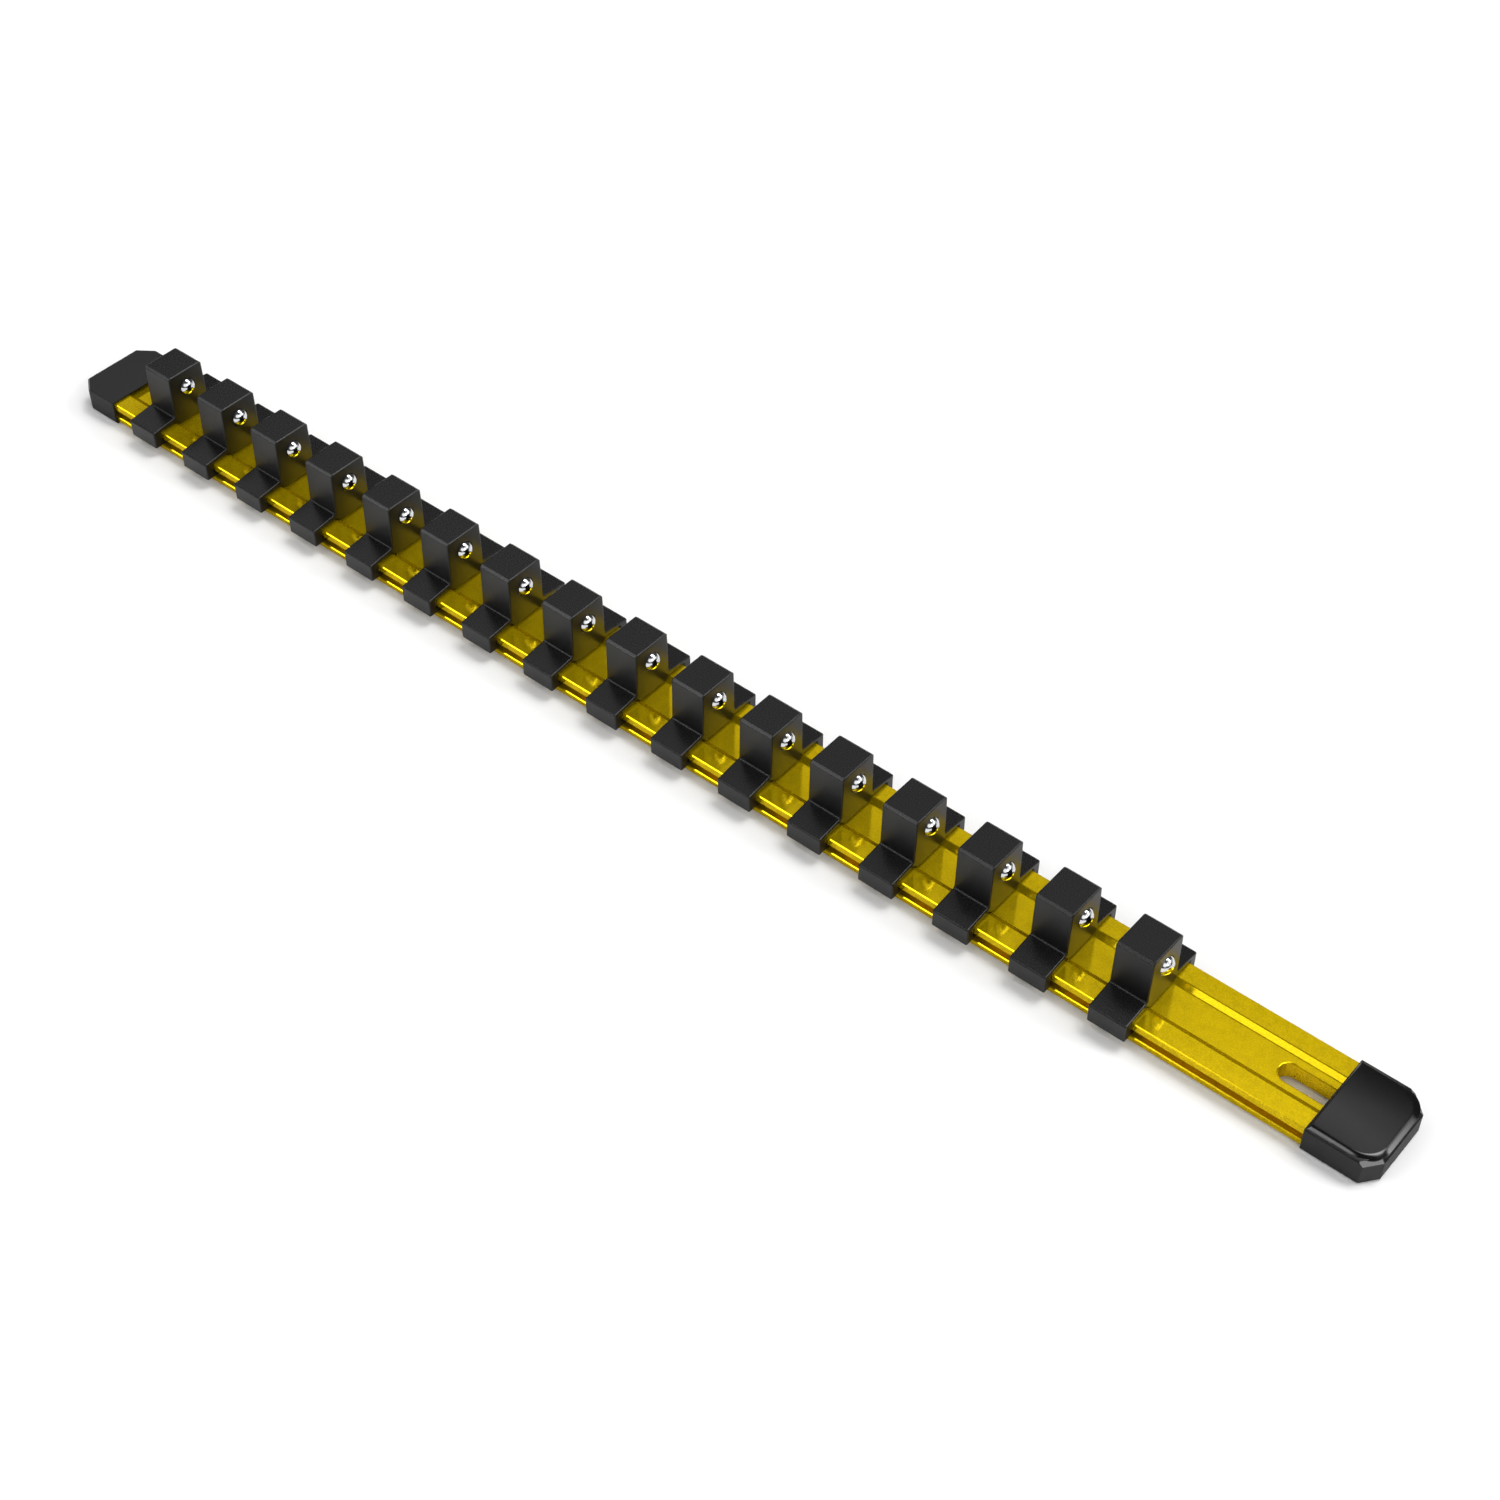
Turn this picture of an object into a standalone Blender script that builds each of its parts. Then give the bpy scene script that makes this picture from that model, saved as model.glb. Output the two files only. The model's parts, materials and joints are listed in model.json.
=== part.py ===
"""Socket rail: an aluminium bar, sixteen clips that slide along it, each with a sprung detent ball, and two end caps.

The bar runs along X, its top faces +Z, and the origin is under its middle, at the level it stands on.
"""

import math

import bmesh
import bpy
from mathutils import Vector

# Bar
RAIL_LENGTH = 0.4368
RAIL_WIDTH = 0.0244
RAIL_HEIGHT = 0.0063
FLANGE_THICKNESS = 0.0022
GROOVE_HEIGHT = 0.0025
GROOVE_DEPTH = 0.0028
RECESS_WIDTH = 0.0130
RECESS_DEPTH = 0.0011
RECESS_SIDE_RUN = 0.0015
RAIL_EDGE = 0.00025

# Through slot near one end of the bar
SLOT_WIDTH = 0.0057
SLOT_LENGTH = 0.0220
SLOT_TO_RAIL_END = 0.0052

# End caps
NEAR_CAP_LENGTH = 0.0185
NEAR_CORNER_LENGTH = 0.0043
NEAR_CORNER_WIDTH = 0.0043
FAR_CAP_LENGTH = 0.0157
FAR_CORNER_LENGTH = 0.0046
FAR_CORNER_WIDTH = 0.0035
CAP_CORNER_WALL = 0.0004
CAP_SIDE_WALL = 0.0005
CAP_FLOOR = 0.00055
CAP_ROOF = 0.00035
CAP_EDGE = 0.0005
PAD_RISE = 0.0009
PAD_INSET = 0.0006
PAD_MOUTH_INSET = 0.0002
PAD_CORNER_RADIUS = 0.0052
PAD_SIDE_RUN = 0.0020
PAD_MOUTH_RUN = 0.0006

# Clips
CLIP_COUNT = 16
CLIP_LENGTH = 0.0108
FIRST_CLIP_GAP = 0.0107
LAST_CLIP_GAP = 0.0327
POST_TOP_DEPTH = 0.0124
POST_BASE_DEPTH = 0.0130
POST_ABOVE_RAIL = 0.0160
FOOT_THICKNESS = 0.0022
FOOT_EDGE_THICKNESS = 0.0012
SKIRT_THICKNESS = 0.0027
HOOK_HEIGHT = 0.0013
HOOK_REACH = 0.0020
POST_FILLET = 0.0006
CLIP_CORNER_RADIUS = 0.0005
CLIP_EDGE = 0.0003

# Detent balls and their springs
BALL_DIAMETER = 0.0055
BALL_STANDS_OUT = 0.0018
BALL_ABOVE_RAIL = 0.0101
BORE_BACK_WALL = 0.0015
BORE_CLEARANCE = 0.00015
LIP_CLEARANCE = 0.00008
SPRING_DIAMETER = 0.0047
SPRING_WIRE = 0.0005
SPRING_TURNS = 3.5

# Fits
SLIDE_GAP = 0.00025
SEAT_GAP = 0.0003
CUT_OVERRUN = 0.0010
WELD_DISTANCE = 0.00001

# Counts of flats that stand for curves
BALL_SEGMENTS = 16
BALL_RINGS = 10
BORE_FLATS = 24
SLOT_END_FLATS = 8
PAD_CORNER_FLATS = 6
PAD_SIDE_FLATS = 4
CORNER_FLATS = 3
POINTS_PER_TURN = 8

# Levels and places that follow from the sizes above
RAIL_BOTTOM = CAP_FLOOR + SLIDE_GAP
RAIL_TOP = RAIL_BOTTOM + RAIL_HEIGHT
GROOVE_TOP = RAIL_TOP - FLANGE_THICKNESS
GROOVE_BOTTOM = GROOVE_TOP - GROOVE_HEIGHT
RECESS_FLOOR = RAIL_TOP - RECESS_DEPTH
RAIL_HALF = RAIL_WIDTH / 2
CAP_HALF = RAIL_HALF + SLIDE_GAP + CAP_SIDE_WALL
CAP_BODY_TOP = RAIL_TOP + SLIDE_GAP + CAP_ROOF
CAP_END_WALL = max(NEAR_CORNER_LENGTH, FAR_CORNER_LENGTH) + CAP_CORNER_WALL
CAP_END = RAIL_LENGTH / 2 + SEAT_GAP + CAP_END_WALL
NEAR_MOUTH_X = CAP_END - NEAR_CAP_LENGTH
FAR_MOUTH_X = FAR_CAP_LENGTH - CAP_END
SLOT_FAR_END = RAIL_LENGTH / 2 - SLOT_TO_RAIL_END
SLOT_NEAR_END = SLOT_FAR_END - SLOT_LENGTH
FIRST_CLIP_X = FAR_MOUTH_X + FIRST_CLIP_GAP + CLIP_LENGTH / 2
LAST_CLIP_X = SLOT_NEAR_END - LAST_CLIP_GAP - CLIP_LENGTH / 2
CLIP_PITCH = (LAST_CLIP_X - FIRST_CLIP_X) / (CLIP_COUNT - 1)
BALL_RADIUS = BALL_DIAMETER / 2
BALL_X = CLIP_LENGTH / 2 + BALL_STANDS_OUT - BALL_RADIUS
BALL_HEIGHT = RAIL_TOP + BALL_ABOVE_RAIL
BORE_RADIUS = BALL_RADIUS + BORE_CLEARANCE
BORE_END = BORE_BACK_WALL - CLIP_LENGTH / 2

# An outline drawn in a curve's own X and Y lies across the bar after this turn: X to Y, Y to Z and depth to X.
ACROSS_RAIL = (math.pi / 2, 0.0, math.pi / 2)
# A shape turned about Z points along the bar after this turn.
ALONG_RAIL = (0.0, math.pi / 2, 0.0)


def clear_scene():
    for obj in list(bpy.data.objects):
        bpy.data.objects.remove(obj, do_unlink=True)


def new_collection(name, hidden=False):
    collection = bpy.data.collections.new(name)
    collection.hide_render = hidden
    bpy.context.scene.collection.children.link(collection)
    return collection


def new_material(name, colour, roughness, metallic):
    material = bpy.data.materials.new(name)
    material.use_nodes = True
    shader = material.node_tree.nodes["Principled BSDF"]
    shader.inputs["Base Color"].default_value = (*colour, 1.0)
    shader.inputs["Roughness"].default_value = roughness
    shader.inputs["Metallic"].default_value = metallic
    return material


def new_object(name, data, collection, location=(0, 0, 0), rotation=(0, 0, 0), parent=None):
    obj = bpy.data.objects.new(name, data)
    obj.location = location
    obj.rotation_euler = rotation
    obj.parent = parent
    collection.objects.link(obj)
    return obj


def evaluated_mesh(obj, name):
    """The object's mesh after its modifiers, or a curve's filled mesh, with its loose caps welded."""
    bpy.context.view_layer.update()
    graph = bpy.context.evaluated_depsgraph_get()
    mesh = bpy.data.meshes.new_from_object(obj.evaluated_get(graph), depsgraph=graph)
    mesh.name = name
    shape = bmesh.new()
    shape.from_mesh(mesh)
    bmesh.ops.remove_doubles(shape, verts=shape.verts, dist=WELD_DISTANCE)
    shape.to_mesh(mesh)
    shape.free()
    return mesh


def finished_mesh(obj, name):
    """The mesh of an object with its modifiers and its place in it. The object is removed."""
    mesh = evaluated_mesh(obj, name)
    mesh.transform(obj.matrix_world)
    bpy.data.objects.remove(obj, do_unlink=True)
    return mesh


def outline_mesh(name, points, thickness, collection):
    """A flat outline, filled and given its thickness, centred on the outline's plane."""
    curve = bpy.data.curves.new(name, "CURVE")
    curve.dimensions = "2D"
    curve.fill_mode = "BOTH"
    curve.extrude = thickness / 2
    spline = curve.splines.new("POLY")
    spline.points.add(len(points) - 1)
    for point, (x, y) in zip(spline.points, points):
        point.co = (x, y, 0.0, 1.0)
    spline.use_cyclic_u = True
    mesh = finished_mesh(new_object(name, curve, collection), name)
    bpy.data.curves.remove(curve)
    join_flat_ends(mesh)
    return mesh


def join_flat_ends(mesh):
    """Makes each end of a filled outline one face, so that a cut or a bevel meets no thin triangles there."""
    shape = bmesh.new()
    shape.from_mesh(mesh)
    middle = sum(vert.co.z for vert in shape.verts) / len(shape.verts)
    for above in (True, False):
        end = [face for face in shape.faces if all((vert.co.z > middle) == above for vert in face.verts)]
        bmesh.ops.dissolve_faces(shape, faces=end)
    shape.to_mesh(mesh)
    shape.free()


def mirrored(half):
    """An outline closed by its own mirror image: the half runs from the middle line round to the middle line."""
    return half + [(-x, y) for x, y in reversed(half)]


def arc(centre, radius, start, end, flats):
    """Points along an arc, from one angle to another."""
    steps = [start + (end - start) * step / flats for step in range(flats + 1)]
    return [(centre[0] + radius * math.cos(a), centre[1] + radius * math.sin(a)) for a in steps]


def fillet(before, corner, after, radius, flats):
    """Points that round the corner of an outline, from the side it comes in on to the side it leaves on."""
    corner = Vector(corner)
    side_in = (Vector(before) - corner).normalized()
    side_out = (Vector(after) - corner).normalized()
    half = side_in.angle(side_out) / 2
    centre = corner + (side_in + side_out).normalized() * (radius / math.sin(half))
    first = (corner + side_in * (radius / math.tan(half)) - centre).normalized()
    last = (corner + side_out * (radius / math.tan(half)) - centre).normalized()
    return [tuple(centre + first.slerp(last, step / flats) * radius) for step in range(flats + 1)]


def rounded(corners, flats):
    """A closed outline from its corners and their radii. A corner with no radius stays sharp."""
    points = []
    for index, (corner, radius) in enumerate(corners):
        before, after = corners[index - 1][0], corners[(index + 1) % len(corners)][0]
        points += fillet(before, corner, after, radius, flats) if radius else [corner]
    return points


def drawn_in(points, depth):
    """An outline that runs anticlockwise, with each side moved inwards by a depth."""
    moved = []
    for index, point in enumerate(points):
        before = Vector(point) - Vector(points[index - 1])
        after = Vector(points[(index + 1) % len(points)]) - Vector(point)
        inwards = [Vector((-side.y, side.x)).normalized() for side in (before, after)]
        miter = (inwards[0] + inwards[1]).normalized()
        moved.append(tuple(Vector(point) + miter * (depth / miter.dot(inwards[0]))))
    return moved


def ring_mesh(name, rings):
    """A closed solid through rings of points, from the first ring's flat face up to the last one's."""
    around, top = len(rings[0]), len(rings) - 1
    faces = [tuple(reversed(range(around))), tuple(range(around * top, around * (top + 1)))]
    for ring in range(top):
        for point in range(around):
            first, second = ring * around + point, ring * around + (point + 1) % around
            faces.append((first, second, second + around, first + around))
    mesh = bpy.data.meshes.new(name)
    mesh.from_pydata([point for ring in rings for point in ring], [], faces)
    return mesh


def edged_mesh(name, outline, thickness, edge):
    """A flat outline given its thickness, with an edge cut off all round both of its faces."""
    half = thickness / 2
    levels = [(edge, -half), (0.0, edge - half), (0.0, half - edge), (edge, half)]
    return ring_mesh(name, [[(x, y, z) for x, y in drawn_in(outline, inset)] for inset, z in levels])


def add_bevel(obj, width):
    bevel = obj.modifiers.new("edges", "BEVEL")
    bevel.width = width
    bevel.limit_method = "ANGLE"
    bevel.angle_limit = math.radians(30)


def add_boolean(obj, other, operation):
    boolean = obj.modifiers.new(other.name, "BOOLEAN")
    boolean.operation = operation
    boolean.solver = "EXACT"
    boolean.object = other


def as_cutter(obj):
    obj.hide_render = True
    obj.display_type = "WIRE"
    return obj


def box_mesh(name, low, high):
    """A box between two corners, with its place in its mesh."""
    shape = bmesh.new()
    bmesh.ops.create_cube(shape, size=1.0)
    middle = [(a + b) / 2 for a, b in zip(low, high)]
    for vert in shape.verts:
        vert.co = Vector(m + c * (b - a) for m, c, a, b in zip(middle, vert.co, low, high))
    mesh = bpy.data.meshes.new(name)
    shape.to_mesh(mesh)
    shape.free()
    return mesh


def shade_round(mesh):
    mesh.shade_smooth()
    mesh.set_sharp_from_angle(angle=math.radians(35))


def rail_outline():
    """Half of the bar's section, from the recess floor round to the underside."""
    recess_top = RECESS_WIDTH / 2
    groove_wall = RAIL_HALF - GROOVE_DEPTH
    return [
        (recess_top - RECESS_SIDE_RUN, RECESS_FLOOR),
        (recess_top, RAIL_TOP),
        (RAIL_HALF, RAIL_TOP),
        (RAIL_HALF, GROOVE_TOP),
        (groove_wall, GROOVE_TOP),
        (groove_wall, GROOVE_BOTTOM),
        (RAIL_HALF, GROOVE_BOTTOM),
        (RAIL_HALF, RAIL_BOTTOM),
    ]


def slot_outline():
    """A slot with round ends, along the bar."""
    radius = SLOT_WIDTH / 2
    far = SLOT_FAR_END - radius
    near = SLOT_NEAR_END + radius
    quarter = math.pi / 2
    return arc((far, 0.0), radius, -quarter, quarter, SLOT_END_FLATS) + arc(
        (near, 0.0), radius, quarter, 3 * quarter, SLOT_END_FLATS
    )


def make_rail(parts, cutters, material):
    mesh = outline_mesh("rail", mirrored(rail_outline()), RAIL_LENGTH, cutters)
    rail = new_object("rail", mesh, parts, rotation=ACROSS_RAIL)
    slot_mesh = outline_mesh("slot_cutter", slot_outline(), RAIL_HEIGHT + CUT_OVERRUN, cutters)
    slot_height = (RAIL_TOP + RAIL_BOTTOM) / 2
    slot = as_cutter(new_object("slot_cutter", slot_mesh, cutters, location=(0, 0, slot_height)))
    add_boolean(rail, slot, "DIFFERENCE")
    add_bevel(rail, RAIL_EDGE)
    rail.data.materials.append(material)


def cap_outline(length, corner_length, corner_width):
    """Plan of an end cap, from past its mouth at X = 0 to its end, with cut corners."""
    return [
        (-CUT_OVERRUN, -CAP_HALF),
        (length - corner_length, -CAP_HALF),
        (length, corner_width - CAP_HALF),
        (length, CAP_HALF - corner_width),
        (length - corner_length, CAP_HALF),
        (-CUT_OVERRUN, CAP_HALF),
    ]


def pad_ring(length, side_inset, mouth_inset):
    """Plan of the raised pad on an end cap, with round corners at the cap's end, drawn in by the insets."""
    half = CAP_HALF - PAD_INSET - side_inset
    radius = PAD_CORNER_RADIUS - side_inset
    end = length - PAD_INSET - PAD_CORNER_RADIUS
    mouth = PAD_MOUTH_INSET + mouth_inset
    corner = half - radius
    quarter = math.pi / 2
    return (
        [(mouth, -half)]
        + arc((end, -corner), radius, -quarter, 0.0, PAD_CORNER_FLATS)
        + arc((end, corner), radius, 0.0, quarter, PAD_CORNER_FLATS)
        + [(mouth, half)]
    )


def pad_mesh(name, length):
    """The pad as rings of its plan, one on another up a rounded side, from inside the cap to its flat top."""
    levels = [(0.0, -PAD_RISE)]
    for step in range(PAD_SIDE_FLATS + 1):
        angle = math.pi / 2 * step / PAD_SIDE_FLATS
        levels.append((1.0 - math.cos(angle), PAD_RISE * math.sin(angle)))
    rings = [
        [(x, y, height) for x, y in pad_ring(length, share * PAD_SIDE_RUN, share * PAD_MOUTH_RUN)]
        for share, height in levels
    ]
    return ring_mesh(name, rings)


def cap_mesh(name, outline, padded, cutters):
    """An end cap with its mouth at X = 0: a body, with a pad on it or without, and the bar's end cut out."""
    length = max(x for x, y in outline)
    body_mesh = outline_mesh(f"{name}_body", outline, CAP_BODY_TOP, cutters)
    body = new_object(f"{name}_body", body_mesh, cutters, location=(0, 0, CAP_BODY_TOP / 2))
    add_bevel(body, CAP_EDGE)
    if padded:
        mesh = pad_mesh(f"{name}_pad", length)
        pad = new_object(mesh.name, mesh, cutters, location=(0, 0, CAP_BODY_TOP))
        add_boolean(body, as_cutter(pad), "UNION")
    mouth_mesh = box_mesh(
        f"{name}_mouth_cutter",
        (-2 * CUT_OVERRUN, -CAP_HALF - CUT_OVERRUN, -CUT_OVERRUN),
        (0.0, CAP_HALF + CUT_OVERRUN, CAP_BODY_TOP + PAD_RISE + CUT_OVERRUN),
    )
    cavity_mesh = box_mesh(
        f"{name}_cavity_cutter",
        (-CUT_OVERRUN, -RAIL_HALF - SLIDE_GAP, CAP_FLOOR),
        (length - CAP_END_WALL, RAIL_HALF + SLIDE_GAP, RAIL_TOP + SLIDE_GAP),
    )
    for mesh in (mouth_mesh, cavity_mesh):
        add_boolean(body, as_cutter(new_object(mesh.name, mesh, cutters)), "DIFFERENCE")
    return finished_mesh(body, name)


def make_caps(parts, cutters, material):
    """The near cap has a raised pad. The far cap is shorter and plain, and turned to face the other way."""
    near_outline = cap_outline(NEAR_CAP_LENGTH, NEAR_CORNER_LENGTH, NEAR_CORNER_WIDTH)
    far_outline = cap_outline(FAR_CAP_LENGTH, FAR_CORNER_LENGTH, FAR_CORNER_WIDTH)
    near = cap_mesh("end_cap_near", near_outline, True, cutters)
    far = cap_mesh("end_cap_far", far_outline, False, cutters)
    for mesh, mouth, turn in ((near, NEAR_MOUTH_X, 0.0), (far, FAR_MOUTH_X, math.pi)):
        mesh.materials.append(material)
        new_object(mesh.name, mesh, parts, location=(mouth, 0, 0), rotation=(0, 0, turn))


def clip_outline():
    """A clip's section, from half of its corners and their radii: from its tongue round to the post's top."""
    foot_base = RAIL_TOP + SLIDE_GAP
    recess_top = RECESS_WIDTH / 2 - SLIDE_GAP
    skirt_inside = RAIL_HALF + SLIDE_GAP
    skirt_outside = skirt_inside + SKIRT_THICKNESS
    hook_tip = RAIL_HALF - HOOK_REACH
    hook_top = GROOVE_TOP - SEAT_GAP
    hook_bottom = hook_top - HOOK_HEIGHT
    half = [
        ((recess_top - RECESS_SIDE_RUN, RECESS_FLOOR + SLIDE_GAP), 0.0),
        ((recess_top, foot_base), 0.0),
        ((skirt_inside, foot_base), 0.0),
        ((skirt_inside, hook_top), 0.0),
        ((hook_tip, hook_top), 0.0),
        ((hook_tip, hook_bottom), CLIP_CORNER_RADIUS),
        ((skirt_outside, hook_bottom), CLIP_CORNER_RADIUS),
        ((skirt_outside, RAIL_TOP + FOOT_EDGE_THICKNESS), CLIP_CORNER_RADIUS),
        ((POST_BASE_DEPTH / 2, RAIL_TOP + FOOT_THICKNESS), POST_FILLET),
        ((POST_TOP_DEPTH / 2, RAIL_TOP + POST_ABOVE_RAIL), CLIP_CORNER_RADIUS),
    ]
    corners = half + [((-x, y), radius) for (x, y), radius in reversed(half)]
    return rounded(corners, CORNER_FLATS)


def bore_cutter(cutters):
    """The bore behind a ball, turned about its axis, with the lip that narrows towards the post's face."""
    face = CLIP_LENGTH / 2
    to_centre = BALL_RADIUS - BALL_STANDS_OUT
    at_face = math.sqrt(BALL_RADIUS**2 - to_centre**2) + LIP_CLEARANCE
    profile = [
        (0.0, face + CUT_OVERRUN),
        (at_face, face + CUT_OVERRUN),
        (at_face, face),
        (BORE_RADIUS, face - to_centre),
        (BORE_RADIUS, BORE_END),
        (0.0, BORE_END),
    ]
    mesh = bpy.data.meshes.new("bore_cutter")
    edges = [(i, i + 1) for i in range(len(profile) - 1)]
    mesh.from_pydata([(radius, 0.0, height) for radius, height in profile], edges, [])
    cutter = new_object("bore_cutter", mesh, cutters, location=(0, 0, BALL_HEIGHT), rotation=ALONG_RAIL)
    turned = cutter.modifiers.new("turned", "SCREW")
    turned.steps = BORE_FLATS
    turned.render_steps = BORE_FLATS
    turned.use_merge_vertices = True
    turned.merge_threshold = WELD_DISTANCE
    return as_cutter(cutter)


def clip_mesh(cutters):
    """One clip, centred on X = 0 along the bar, with the ball's bore in its +X face."""
    mesh = edged_mesh("clip", clip_outline(), CLIP_LENGTH, CLIP_EDGE)
    clip = new_object("clip", mesh, cutters, rotation=ACROSS_RAIL)
    add_boolean(clip, bore_cutter(cutters), "DIFFERENCE")
    return finished_mesh(clip, "clip")


def ball_mesh():
    """A ball with its poles along the bar."""
    bpy.ops.mesh.primitive_uv_sphere_add(segments=BALL_SEGMENTS, ring_count=BALL_RINGS, radius=BALL_RADIUS)
    ball = bpy.context.object
    mesh = ball.data
    mesh.name = "detent_ball"
    bpy.data.objects.remove(ball, do_unlink=True)
    shade_round(mesh)
    return mesh


def spring_points():
    """Points of a helix along local Z, from the bore's end to where it rests against the ball."""
    wire_radius = SPRING_WIRE / 2
    coil_radius = SPRING_DIAMETER / 2 - wire_radius
    touch = BALL_RADIUS + wire_radius + SEAT_GAP
    front = BALL_X - math.sqrt(touch**2 - coil_radius**2)
    back = BORE_END + SEAT_GAP + wire_radius
    count = round(SPRING_TURNS * POINTS_PER_TURN)
    points = []
    for step in range(count + 1):
        angle = math.tau * step / POINTS_PER_TURN
        along = back + (front - back) * step / count
        points.append(Vector((coil_radius * math.cos(angle), coil_radius * math.sin(angle), along)))
    return points


def least_gap(points):
    """The least gap between the wire and itself, among points half a turn apart or more."""
    apart = POINTS_PER_TURN // 2
    pairs = ((a, b) for i, a in enumerate(points) for b in points[i + apart :])
    return min((a - b).length for a, b in pairs) - SPRING_WIRE


def spring_mesh(cutters):
    points = spring_points()
    print(f"spring: least gap to itself {least_gap(points):.5f} m")
    curve = bpy.data.curves.new("detent_spring", "CURVE")
    curve.dimensions = "3D"
    curve.bevel_depth = SPRING_WIRE / 2
    curve.bevel_resolution = 0
    curve.use_fill_caps = True
    spline = curve.splines.new("POLY")
    spline.points.add(len(points) - 1)
    for point, place in zip(spline.points, points):
        point.co = (*place, 1.0)
    mesh = finished_mesh(new_object("detent_spring", curve, cutters), "detent_spring")
    shade_round(mesh)
    return mesh


def make_clips(parts, cutters, black, chrome, steel):
    body, ball, spring = clip_mesh(cutters), ball_mesh(), spring_mesh(cutters)
    body.materials.append(black)
    ball.materials.append(chrome)
    spring.materials.append(steel)
    for index in range(CLIP_COUNT):
        number = f"{index + 1:02d}"
        place = (FIRST_CLIP_X + index * CLIP_PITCH, 0.0, 0.0)
        new_object(f"clip_{number}", body, parts, location=place)
        carrier = new_object(f"clip_{number}_axis", None, parts, location=place)
        new_object(
            f"detent_spring_{number}",
            spring,
            parts,
            location=(0, 0, BALL_HEIGHT),
            rotation=ALONG_RAIL,
            parent=carrier,
        )
        new_object(
            f"detent_ball_{number}",
            ball,
            parts,
            location=(BALL_X, 0, BALL_HEIGHT),
            rotation=ALONG_RAIL,
            parent=carrier,
        )


def main():
    clear_scene()
    parts = new_collection("socket_rail")
    cutters = new_collection("cutters")
    anodised = new_material("yellow_anodised_aluminium", (0.60, 0.45, 0.01), 0.25, 1.0)
    black = new_material("black_moulded_plastic", (0.015, 0.015, 0.016), 0.35, 0.0)
    chrome = new_material("chromed_steel", (0.80, 0.81, 0.82), 0.08, 1.0)
    steel = new_material("spring_steel", (0.45, 0.45, 0.46), 0.30, 1.0)
    make_rail(parts, cutters, anodised)
    make_caps(parts, cutters, black)
    make_clips(parts, cutters, black, chrome, steel)


main()
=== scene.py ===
"""Looks of a socket rail: a yellow anodised bar, sixteen
sliding clips with sprung balls, and two end caps."""

import json
import math

import bpy
import numpy as np
from mathutils import Euler, Matrix, Vector


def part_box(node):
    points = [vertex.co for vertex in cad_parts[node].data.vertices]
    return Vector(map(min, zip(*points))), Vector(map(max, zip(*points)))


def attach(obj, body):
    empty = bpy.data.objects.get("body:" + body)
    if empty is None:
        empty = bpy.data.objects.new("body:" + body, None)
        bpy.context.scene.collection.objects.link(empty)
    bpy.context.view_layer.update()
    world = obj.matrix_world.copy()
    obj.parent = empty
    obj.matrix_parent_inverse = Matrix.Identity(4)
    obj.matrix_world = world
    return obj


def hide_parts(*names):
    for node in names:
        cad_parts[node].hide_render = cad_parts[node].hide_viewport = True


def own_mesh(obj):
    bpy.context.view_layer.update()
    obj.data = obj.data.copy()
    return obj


bl_info = {
    "name": "Socket rail",
    "version": (1, 0, 0),
    "blender": (4, 5, 0),
    "location": "3D View > Sidebar > Socket rail",
    "description": "Builds the finished pieces of a socket rail on its packed frame, and a stage for them",
    "category": "Object",
}

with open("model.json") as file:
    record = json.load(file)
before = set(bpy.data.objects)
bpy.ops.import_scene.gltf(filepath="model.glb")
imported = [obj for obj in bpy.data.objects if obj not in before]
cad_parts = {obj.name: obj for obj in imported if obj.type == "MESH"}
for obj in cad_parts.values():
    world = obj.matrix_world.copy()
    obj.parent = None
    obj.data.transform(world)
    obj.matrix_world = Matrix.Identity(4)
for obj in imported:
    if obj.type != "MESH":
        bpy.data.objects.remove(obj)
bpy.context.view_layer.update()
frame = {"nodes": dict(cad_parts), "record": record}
BODY_OF = {node: body for body, nodes in frame["record"]["behaviour"]["bodies"].items() for node in nodes}
CLIP_NUMBERS = sorted(node[-2:] for node in frame["nodes"] if node.startswith("clip_"))

RAIL_LOW, RAIL_HIGH = (Vector(corner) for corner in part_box("rail"))
NEAR_LOW, NEAR_HIGH = (Vector(corner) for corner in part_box("end_cap_near"))
FAR_LOW, FAR_HIGH = (Vector(corner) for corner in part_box("end_cap_far"))
CLIP_LOW, CLIP_HIGH = (Vector(corner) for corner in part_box("clip_01"))
BALL_LOW, BALL_HIGH = (Vector(corner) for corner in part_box("detent_ball_01"))

# The bar and its slot. All lengths are in metres.
FLANGE_THICKNESS = 0.0022
GROOVE_HEIGHT = 0.0025
GROOVE_DEPTH = 0.0028
RECESS_HALF = 0.0065
RECESS_DEPTH = 0.0011
RECESS_SIDE_RUN = 0.0015
SLOT_FAR_GAP = 0.0052
SLOT_LENGTH = 0.0220
SLOT_RADIUS = 0.00285
SLOT_END_STEPS = 20
SLOT_RIM_DEGREES = (0, 15, 30, 45, 60, 72, 82)

# The last ring of the slot's cutter lies outside each face by the first share
# of the rim's radius, and further out than the slot's side by the second
SLOT_CUTTER_LIFT = 0.1
SLOT_CUTTER_FLARE = 1.6

# A clip. Its hooks reach 0.5 mm lower than in the solids. The post's bevel starts where the post is
# wider than its top by a share of the bevel, and the bevel's own edges are rounded by another share.
POST_TOP_HALF = 0.0062
POST_BASE_HALF = 0.0065
POST_LEAN = 0.05
POST_BEVEL_ROUNDING = 0.3
FOOT_THICKNESS = 0.0022
FOOT_EDGE_THICKNESS = 0.0012
FOOT_EDGE_RADIUS = 0.0005
SKIRT_THICKNESS = 0.0027
HOOK_HEIGHT = 0.0018
HOOK_REACH = 0.0020
SLIDE_GAP = 0.00025
SEAT_GAP = 0.0003

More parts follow.
